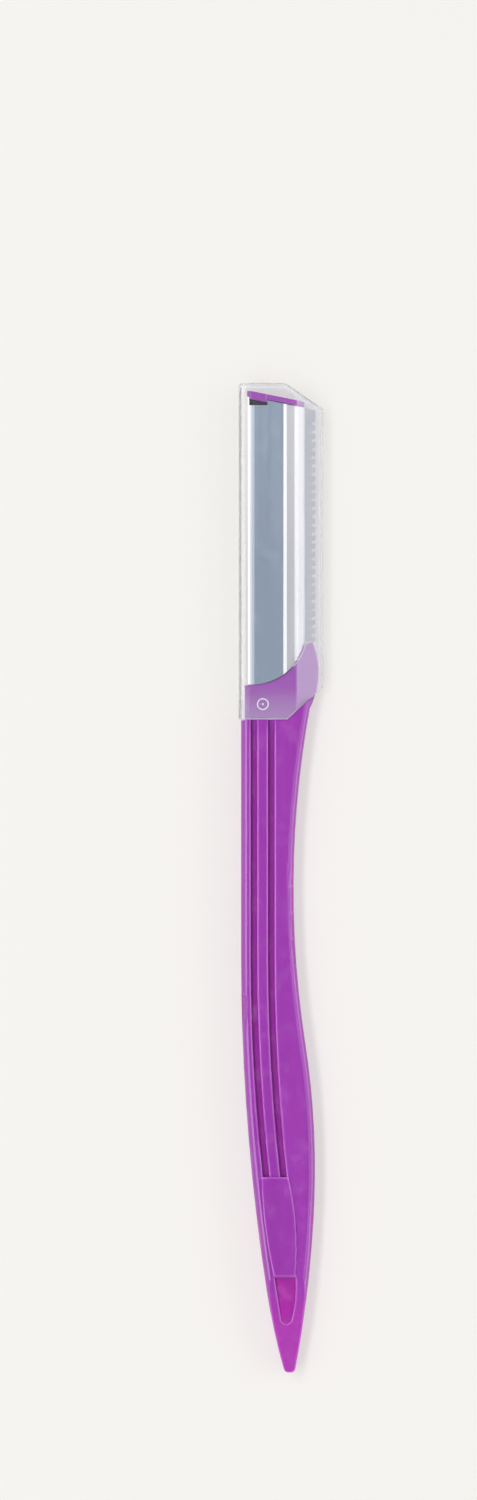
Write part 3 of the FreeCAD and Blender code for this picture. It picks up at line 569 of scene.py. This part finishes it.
@dataclass(frozen=True)
class ClearPlastic(Finish):
    """Clear plastic, milky near its mouth, with a painted reflection on its bevel and painted highlights on
    its outer edges and snap mark.

    Attributes:
        colour: The tint of the plastic.
        haze_and_highlight_colour: The colour of the milky haze and of the painted highlights and
            reflection.
        mouth: Where the mouth is along the razor.
        mark: The middle of the round snap mark, across and along the razor.
        clearing: How far from the mouth the haze has cleared.
        haze: The share of the haze at the mouth.
        bevel: The place across the razor beyond which the side is bevelled.
        bevel_fade: The width over which the haze grows there.
        bevel_reflection_share: The share of that colour on the bevel, a painted reflection of its slope.
        edge_highlight_share: The share of that colour on an outer edge, a painted highlight.
        mark_radius: The radius of the snap mark's ring.
        mark_bead: The half width of the ring's line.
        mark_dot: The radius of the dot in its middle.
        mark_core: The share of those two that is full; the rest fades.
        mark_highlight_share: The share of that colour on the ring and the dot, a painted highlight.
        mark_reach: The radius inside which edges get no painted highlight, so that the ring stays fine.
        scratches: How strong the hairline scratches are.
        edge_width: How wide the outer edges are.
        shine: The roughness where the surface is clean.
        smudge: The roughness in a smudge.
        bend: The index of refraction.
        clearness: The share of the light that goes through.
        shadow: The share of a lamp's light that the plastic holds back.
    """

    colour: Colour
    haze_and_highlight_colour: Colour
    mouth: float
    mark: tuple[float, float]
    clearing: float = 6 * MILLIMETRE
    haze: float = 0.11
    bevel: float = 2.35 * MILLIMETRE
    bevel_fade: float = 0.1 * MILLIMETRE
    bevel_reflection_share: float = 0.14
    edge_highlight_share: float = 0.8
    mark_radius: float = 0.8 * MILLIMETRE
    mark_bead: float = 0.075 * MILLIMETRE
    mark_dot: float = 0.2 * MILLIMETRE
    mark_core: float = 0.5
    mark_highlight_share: float = 0.62
    mark_reach: float = 1.1 * MILLIMETRE
    scratches: float = 2.0
    edge_width: float = 0.3 * MILLIMETRE
    shine: float = 0.03
    smudge: float = 0.12
    bend: float = 1.49
    clearness: float = 0.98
    shadow: float = 0.12

    def snap_mark(self, graph: Graph, reach: Socket) -> Socket:
        """Give the mask of the snap mark, a ring with a dot in its middle.

        Args:
            graph: The material's graph.
            reach: How far a point is from the mark's middle.

        Returns:
            The mask, from 0 to 1.
        """
        off_ring = graph.sum("ABSOLUTE", graph.sum("SUBTRACT", reach, self.mark_radius))
        ring = graph.span(off_ring, self.mark_core * self.mark_bead, self.mark_bead, 1.0, 0.0)
        dot = graph.span(reach, self.mark_core * self.mark_dot, self.mark_dot, 1.0, 0.0)
        return graph.sum("MAXIMUM", ring, dot)

    def haze_and_highlight_share(self, graph: Graph, edges: Socket) -> Socket:
        """Give the share of the milky haze, the painted reflection and the painted highlights all over the
        cap.

        Args:
            graph: The material's graph.
            edges: The mask of the outer edges.

        Returns:
            The share, from 0 to 1.
        """
        across, along, _ = graph.axes()
        near_mouth = graph.span(along, self.mouth, self.mouth + self.clearing, self.haze, 0.0)
        # Painted reflection: the bevel is milkier, standing in for light mirrored off its slope.
        bevel_reflection = graph.span(across, self.bevel, self.bevel + self.bevel_fade, 0.0, self.bevel_reflection_share)
        mark_across, mark_along = self.mark
        sideways = graph.sum("SUBTRACT", across, mark_across)
        lengthways = graph.sum("SUBTRACT", along, mark_along)
        reach = graph.sum("POWER", graph.square_sum(sideways, lengthways), 0.5)
        # Painted highlight on the snap mark's ring and on the dot in its middle.
        mark = graph.sum("MULTIPLY", self.snap_mark(graph, reach), self.mark_highlight_share)
        # Painted highlight: the outer edges are whitened with the matt pale shader.
        plain_edges = graph.sum("MULTIPLY", edges, graph.sum("GREATER_THAN", reach, self.mark_reach))
        edge_and_mark_highlight = graph.sum("MAXIMUM", graph.sum("MULTIPLY", plain_edges, self.edge_highlight_share), mark)
        return graph.sum("MAXIMUM", graph.sum("MAXIMUM", near_mouth, bevel_reflection), edge_and_mark_highlight)

    def material(self, skin: bpy.types.NodeTree) -> bpy.types.Material:
        """Build the material.

        Args:
            skin: The group with the marks of a moulded surface.

        Returns:
            The material.
        """
        material = bpy.data.materials.new(self.name)
        graph = emptied(material)
        marks = graph.add("ShaderNodeGroup", {
            "Scratches": self.scratches, "Edge Width": self.edge_width,
        }, node_tree=skin).outputs
        ray = graph.add("ShaderNodeLightPath").outputs
        clear = graph.add("ShaderNodeBsdfPrincipled", {
            "Base Color": (*self.colour, 1.0),
            "Roughness": graph.span(marks["Smudges"], 0.0, 1.0, self.shine, self.smudge),
            "IOR": self.bend,
            "Transmission Weight": self.clearness,
            "Alpha": graph.span(ray["Is Shadow Ray"], 0.0, 1.0, 1.0, self.shadow),
            "Normal": self.bump(graph, marks["Height"]),
        })
        # A matt pale shader for the milky haze and for the painted highlights and reflection.
        milky = graph.add("ShaderNodeBsdfDiffuse", {"Color": (*self.haze_and_highlight_colour, 1.0)})
        shader = graph.mix_shaders(self.haze_and_highlight_share(graph, marks["Edges"]), clear, milky)
        graph.add("ShaderNodeOutputMaterial", {"Surface": shader})
        return material


@dataclass(frozen=True)
class Steel(Finish):
    """Bare stainless steel.

    Attributes:
        colour: The colour of the bright metal.
        dull_colour: The colour of its darker streaks.
        warm_colour: The colour that it takes in its broad warmer clouds.
        punched_colour: The greyer colour of the punched comb.
        grain: The way that its fine lines run.
        bright_colour: The colour of the metal at the tip, where it is brightest.
        bright_from: Where along the razor it starts to brighten.
        bright_to: Where it is brightest.
        shaded_inner_colour: The near-black colour of the sheet's inner face, a painted shade for the dark
            inside of the fold.
        shine: The roughness between the streaks.
        dullness: The roughness in the streaks.
        matt: The roughness of the comb and the inner face.
        comb: Where the comb starts across the razor.
        comb_fade: The width over which its finish takes over before it.
        fold: The middle of the folded spine, as its place across the razor and its level.
        fold_radius: The radius round it inside which the inner face lies.
        fold_end: The place across the razor up to which that radius tells the inner face.
    """

    colour: Colour
    dull_colour: Colour
    warm_colour: Colour
    punched_colour: Colour
    grain: Grain
    bright_colour: Colour = (1.0, 1.0, 1.0)
    bright_from: float = 42 * MILLIMETRE
    bright_to: float = 70 * MILLIMETRE
    shaded_inner_colour: Colour = (0.07, 0.06, 0.08)
    shine: float = 0.1
    dullness: float = 0.12
    matt: float = 0.42
    comb: float = 3.4 * MILLIMETRE
    comb_fade: float = 0.2 * MILLIMETRE
    fold: tuple[float, float] = (-3.93 * MILLIMETRE, 2.1 * MILLIMETRE)
    fold_radius: float = 1.15 * MILLIMETRE
    fold_end: float = 0.5 * MILLIMETRE

    def inner_face(self, graph: Graph, across: Socket, level: Socket) -> Socket:
        """Give the mask of the sheet's inner face.

        Args:
            graph: The material's graph.
            across: Where a point is across the razor.
            level: How high it is above the back.

        Returns:
            The mask, 0 or 1.
        """
        sideways = graph.sum("MINIMUM", graph.sum("SUBTRACT", across, self.fold[0]), 0.0)
        upwards = graph.sum("SUBTRACT", level, self.fold[1])
        near = graph.sum("LESS_THAN", graph.square_sum(sideways, upwards), self.fold_radius ** 2)
        return graph.sum("MULTIPLY", near, graph.sum("LESS_THAN", across, self.fold_end))

    def material(self, rolled: bpy.types.NodeTree) -> bpy.types.Material:
        """Build the material.

        Args:
            rolled: The group with the fine lines of rolled or ground steel.

        Returns:
            The material.
        """
        material = bpy.data.materials.new(self.name)
        graph = emptied(material)
        lines = graph.add("ShaderNodeGroup", {"Stretch": self.grain.value}, node_tree=rolled).outputs
        across, along, level = graph.axes()
        at_tip = graph.span(along, self.bright_from, self.bright_to)
        punched = graph.fade(across, self.comb, self.comb_fade, 0.0, 1.0)
        # Mask of the sheet's inner face, which gets a near-black painted shade.
        inner = self.inner_face(graph, across, level)

        lined = graph.blend(lines["Streaks"], self.colour, self.dull_colour)
        clouded = graph.blend(lines["Clouds"], lined, self.warm_colour)
        bright = graph.blend(at_tip, clouded, self.bright_colour)
        outside = graph.blend(punched, bright, self.punched_colour)
        polished = graph.span(lines["Streaks"], 0.0, 1.0, self.shine, self.dullness)
        rough = graph.sum("MULTIPLY", graph.sum("MAXIMUM", punched, inner), self.matt)
        shader = graph.add("ShaderNodeBsdfPrincipled", {
            "Base Color": graph.blend(inner, outside, self.shaded_inner_colour),
            "Metallic": 1.0,
            "Roughness": graph.sum("MAXIMUM", polished, rough),
            "Normal": self.bump(graph, lines["Height"]),
        })
        graph.add("ShaderNodeOutputMaterial", {"Surface": shader.outputs[0]})
        return material


@dataclass(frozen=True)
class Piece:
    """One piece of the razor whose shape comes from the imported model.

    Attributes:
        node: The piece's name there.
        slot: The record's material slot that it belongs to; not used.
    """

    node: str
    slot: str

    def dress(self, nodes: dict[str, bpy.types.Object], material: bpy.types.Material) -> None:
        """Put a material on the whole piece and report it.

        Args:
            nodes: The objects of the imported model, by name.
            material: The finish.
        """
        body = nodes[self.node]
        for held in body.material_slots:
            held.material = material
        log.info("%s: %s, %d faces", self.node, material.name, len(body.data.polygons))


@dataclass
class Handle:
    """The moulded handle, from the tail to the wall that closes the tip.

    Attributes:
        piece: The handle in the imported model.
        finish: Its plastic.
    """

    piece: Piece = Piece("handle", "handle_plastic")
    finish: MouldedPlastic = MouldedPlastic(
        name="purple_plastic",
        bump_depth=2 * MICROMETRE,
        colour=linear(167, 58, 184),
        flow_colour=linear(159, 52, 176),
        groove_shade_colour=linear(165, 32, 171),
        pocket_glow_colour=linear(180, 34, 174),
        tail_glow_colour=linear(184, 58, 184),
        rim_highlight_colour=linear(226, 140, 236),
        face=4.2 * MILLIMETRE,
        tail_start=-59.65 * MILLIMETRE,
        tail_slope=1.2 / 14,
        grip_end=23.5 * MILLIMETRE,
        pocket_start=-48.0 * MILLIMETRE,
        plaque_top=-44.45 * MILLIMETRE,
    )

    def build(self, nodes: dict[str, bpy.types.Object], skin: bpy.types.NodeTree) -> None:
        """Dress the handle."""
        self.piece.dress(nodes, self.finish.material(skin))


@dataclass
class CuttingHead:
    """The blade and the folded sleeve whose comb guards it.

    Attributes:
        sleeve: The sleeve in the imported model.
        blade: The blade there.
        sheet_finish: The steel of the sleeve, bright and rolled along the razor.
        blade_finish: The steel of the blade, ground across its edge.
    """

    sleeve: Piece = Piece("guard_sleeve", "sleeve_steel")
    blade: Piece = Piece("blade", "blade_steel")
    sheet_finish: Steel = Steel(
        name="bright_sheet_steel",
        bump_depth=1.5 * MICROMETRE,
        colour=(0.90, 0.91, 0.92),
        dull_colour=(0.84, 0.86, 0.89),
        warm_colour=(0.92, 0.89, 0.92),
        punched_colour=(0.62, 0.63, 0.65),
        grain=Grain.ALONG_THE_RAZOR,
    )
    blade_finish: Steel = Steel(
        name="ground_blade_steel",
        bump_depth=2 * MICROMETRE,
        colour=(0.68, 0.69, 0.71),
        dull_colour=(0.56, 0.58, 0.61),
        warm_colour=(0.66, 0.65, 0.66),
        punched_colour=(0.62, 0.63, 0.65),
        bright_colour=(0.72, 0.73, 0.75),
        grain=Grain.ACROSS_THE_EDGE,
        shine=0.2,
        dullness=0.32,
    )

    def build(self, nodes: dict[str, bpy.types.Object], rolled: bpy.types.NodeTree) -> None:
        """Dress the sleeve and the blade."""
        self.sleeve.dress(nodes, self.sheet_finish.material(rolled))
        self.blade.dress(nodes, self.blade_finish.material(rolled))


@dataclass
class Cap:
    """The clear cap over the head.

    Attributes:
        piece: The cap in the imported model.
        finish: Its plastic.
    """

    piece: Piece = Piece("cap", "cap_plastic")
    finish: ClearPlastic = ClearPlastic(
        name="clear_plastic",
        bump_depth=0.25 * MICROMETRE,
        colour=(0.985, 0.985, 0.99),
        haze_and_highlight_colour=(0.88, 0.88, 0.96),
        mouth=23.55 * MILLIMETRE,
        mark=(-2.68 * MILLIMETRE, 25.85 * MILLIMETRE),
    )

    def build(self, nodes: dict[str, bpy.types.Object], skin: bpy.types.NodeTree) -> None:
        """Dress the cap."""
        self.piece.dress(nodes, self.finish.material(skin))


@dataclass(frozen=True)
class Softbox:
    """A long lamp that looks at the razor and runs along it.

    Attributes:
        name: The lamp's name.
        place: Where it hangs.
        width: Its width across the razor.
        length: Its length along the razor.
        power: Its power in watts.
        mirrored: Whether surfaces mirror the lamp itself; if not, they mirror the room.
    """

    name: str
    place: tuple[float, float, float]
    width: float
    length: float
    power: float
    mirrored: bool

    def hang(self) -> None:
        """Make the lamp."""
        data = bpy.data.lights.new(self.name, "AREA")
        data.shape = "RECTANGLE"
        data.size = self.length
        data.size_y = self.width
        data.energy = self.power
        lamp = bpy.data.objects.new(self.name, data)
        lamp.location = self.place
        lamp.rotation_euler = (-Vector(self.place)).to_track_quat("-Z", "Y").to_euler()
        lamp.visible_glossy = self.mirrored
        lamp.visible_transmission = self.mirrored
        bpy.context.scene.collection.objects.link(lamp)


@dataclass(frozen=True)
class Room:
    """The colours of the plain room that shiny surfaces mirror.

    Attributes:
        stops: The colours, each with its place across the razor: -1 is level with the spine side,
            0 straight overhead and 1 level with the cutting side.
    """

    stops: tuple[tuple[float, Colour], ...]

    def colour(self, graph: Graph, across: Socket) -> Socket:
        """Give the room's colour.

        Args:
            graph: The world's graph.
            across: Where a look into the room leads, across the razor, from -1 to 1.

        Returns:
            The colour.
        """
        share = graph.sum("MULTIPLY", graph.sum("ADD", across, 1.0), 0.5)
        ramp = graph.add("ShaderNodeValToRGB", {"Fac": share})
        elements = ramp.color_ramp.elements
        while len(elements) < len(self.stops):
            elements.new(1.0)
        for element, (place, colour) in zip(elements, self.stops):
            element.position = (place + 1) / 2
            element.color = (*colour, 1.0)
        return ramp.outputs["Color"]


@dataclass
class Studio:
    """The floor, the light and the camera of the photograph.

    Attributes:
        pixel: How much of the razor's plane one pixel of the photograph covers.
        frame_height: The height of the photograph in pixels.
        view_x: Where the middle of the photograph lies, across the razor.
        view_y: Where it lies along the razor.
        camera_height: How high the camera hangs.
        sensor: The long side of the camera's sensor in millimetres.
        floor_side: The length of the floor's sides.
        floor_colour: The colour of the floor.
        floor_roughness: How matt the floor is.
        backdrop: The pale colour that the floor fades to in the distance.
        backdrop_nearby: The share of that colour in the floor near the razor.
        fade_near: The distance from the razor at which the floor starts to fade.
        fade_far: The distance at which it has faded.
        sky: The colour of the plain light all around.
        open_room: The room that open surfaces mirror.
        room_inside: The room that the head mirrors under the cap.
        lamps: The lamps.
    """

    pixel: float = 0.149 * MILLIMETRE
    frame_height: int = 1500
    view_x: float = -6.3 * MILLIMETRE
    view_y: float = 19.03 * MILLIMETRE
    camera_height: float = 0.9
    sensor: float = 36.0
    floor_side: float = 3.0
    floor_colour: Colour = (0.90, 0.885, 0.86)
    floor_roughness: float = 0.9
    backdrop: Colour = (0.913, 0.896, 0.863)
    backdrop_nearby: float = 0.55
    fade_near: float = 0.14
    fade_far: float = 0.45
    sky: Colour = (0.55, 0.55, 0.55)
    open_room: Room = Room((
        (-0.68, (0.80, 0.81, 0.83)),
        (-0.58, (2.50, 2.50, 2.50)),
        (-0.15, (2.50, 2.50, 2.50)),
        (-0.06, (0.05, 0.06, 0.08)),
        (0.03, (0.05, 0.06, 0.08)),
        (0.08, (1.15, 1.15, 1.15)),
        (0.35, (1.15, 1.15, 1.15)),
        (0.50, (0.60, 0.60, 0.60)),
        (0.75, (1.00, 1.00, 1.00)),
    ))
    room_inside: Room = Room((
        (-0.90, (1.50, 1.50, 1.50)),
        (-0.83, (1.20, 1.21, 1.23)),
        (-0.67, (0.80, 0.85, 0.92)),
        (-0.50, (0.56, 0.62, 0.75)),
        (-0.29, (0.54, 0.61, 0.76)),
        (-0.10, (0.60, 0.67, 0.82)),
        (-0.04, (0.23, 0.31, 0.41)),
        (0.03, (0.21, 0.29, 0.39)),
        (0.09, (1.25, 1.25, 1.25)),
        (0.28, (1.25, 1.25, 1.25)),
        (0.32, (0.55, 0.55, 0.58)),
        (0.45, (0.55, 0.55, 0.58)),
        (0.60, (1.25, 1.25, 1.22)),
    ))
    lamps: tuple[Softbox, ...] = (
        Softbox("window_left", (-0.30, 0.0, 0.67), width=0.14, length=0.9, power=2.9, mirrored=False),
        Softbox("fill_right", (0.65, 0.0, 0.34), width=0.30, length=0.9, power=1.2, mirrored=True),
    )

    def floor_paper(self) -> bpy.types.Material:
        """Build the floor's material, which fades to the backdrop's colour in the distance.

        Returns:
            The material.
        """
        material = bpy.data.materials.new("floor_paper")
        material.cycles.emission_sampling = "NONE"
        graph = emptied(material)
        paper = graph.add("ShaderNodeBsdfPrincipled", {
            "Base Color": (*self.floor_colour, 1.0),
            "Roughness": self.floor_roughness,
        })
        glow = graph.add("ShaderNodeEmission", {"Color": (*self.backdrop, 1.0), "Strength": 1.0})
        away = graph.add("ShaderNodeVectorMath", {"Vector": graph.place()}, operation="LENGTH")
        faded = graph.span(away.outputs["Value"], self.fade_near, self.fade_far, self.backdrop_nearby, 1.0)
        ray = graph.add("ShaderNodeLightPath").outputs
        mirrored = graph.sum("MAXIMUM", ray["Is Glossy Ray"], ray["Is Transmission Ray"])
        seen = graph.sum("MAXIMUM", ray["Is Camera Ray"], mirrored)
        shader = graph.mix_shaders(graph.sum("MULTIPLY", faded, seen), paper, glow)
        graph.add("ShaderNodeOutputMaterial", {"Surface": shader})
        return material

    def lay_floor(self) -> None:
        """Lay the pale floor under the razor."""
        half = self.floor_side / 2
        corners = [(-half, -half, 0.0), (half, -half, 0.0), (half, half, 0.0), (-half, half, 0.0)]
        mesh = bpy.data.meshes.new("floor")
        mesh.from_pydata(corners, [], [(0, 1, 2, 3)])
        mesh.materials.append(self.floor_paper())
        floor = bpy.data.objects.new("floor", mesh)
        floor.location.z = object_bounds()[0].z
        bpy.context.scene.collection.objects.link(floor)
        floor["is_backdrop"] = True

    def light(self) -> None:
        """Hang the lamps and fill the surroundings with pale light."""
        for lamp in self.lamps:
            lamp.hang()
        world = bpy.data.worlds.new("pale_room")
        graph = emptied(world)
        way = graph.add("ShaderNodeTexCoord").outputs["Generated"]
        across = graph.add("ShaderNodeSeparateXYZ", {"Vector": way}).outputs["X"]
        open_room = self.open_room.colour(graph, across)
        room_inside = self.room_inside.colour(graph, across)
        ray = graph.add("ShaderNodeLightPath").outputs
        mirrored = graph.blend(ray["Is Transmission Ray"], open_room, room_inside)
        lit = graph.blend(ray["Is Glossy Ray"], self.sky, mirrored)
        colour = graph.blend(ray["Is Camera Ray"], lit, self.backdrop)
        glow = graph.add("ShaderNodeBackground", {"Color": colour, "Strength": 1.0})
        graph.add("ShaderNodeOutputWorld", {"Surface": glow.outputs[0]})
        bpy.context.scene.world = world

    def place_camera(self) -> None:
        """Hang the camera over the middle of the photograph, looking straight down."""
        low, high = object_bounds()
        distance = self.camera_height - (low.z + high.z) / 2
        data = bpy.data.cameras.new("camera")
        data.sensor_width = self.sensor
        data.lens = self.sensor * distance / (self.pixel * self.frame_height)
        camera = bpy.data.objects.new("camera", data)
        camera.location = (self.view_x, self.view_y, self.camera_height)
        bpy.context.scene.collection.objects.link(camera)
        bpy.context.scene.camera = camera
        log.info("camera: %.0f mm lens, %.2f m up", data.lens, self.camera_height)

    def build(self) -> None:
        """Set up everything around the razor."""
        self.lay_floor()
        self.light()
        self.place_camera()
        bpy.context.scene.view_settings.view_transform = "Standard"
        log.info("studio: floor, %d lamps and a pale room", len(self.lamps))


def main() -> None:
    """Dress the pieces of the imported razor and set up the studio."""
    logging.basicConfig(level=logging.INFO, format="%(name)s: %(message)s")
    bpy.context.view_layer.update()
    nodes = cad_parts
    skin = HandledSkin().build()
    rolled = RolledGrain().build()
    Handle().build(nodes, skin)
    CuttingHead().build(nodes, rolled)
    Cap().build(nodes, skin)
    Studio().build()


if __name__ == "__main__":
    main()
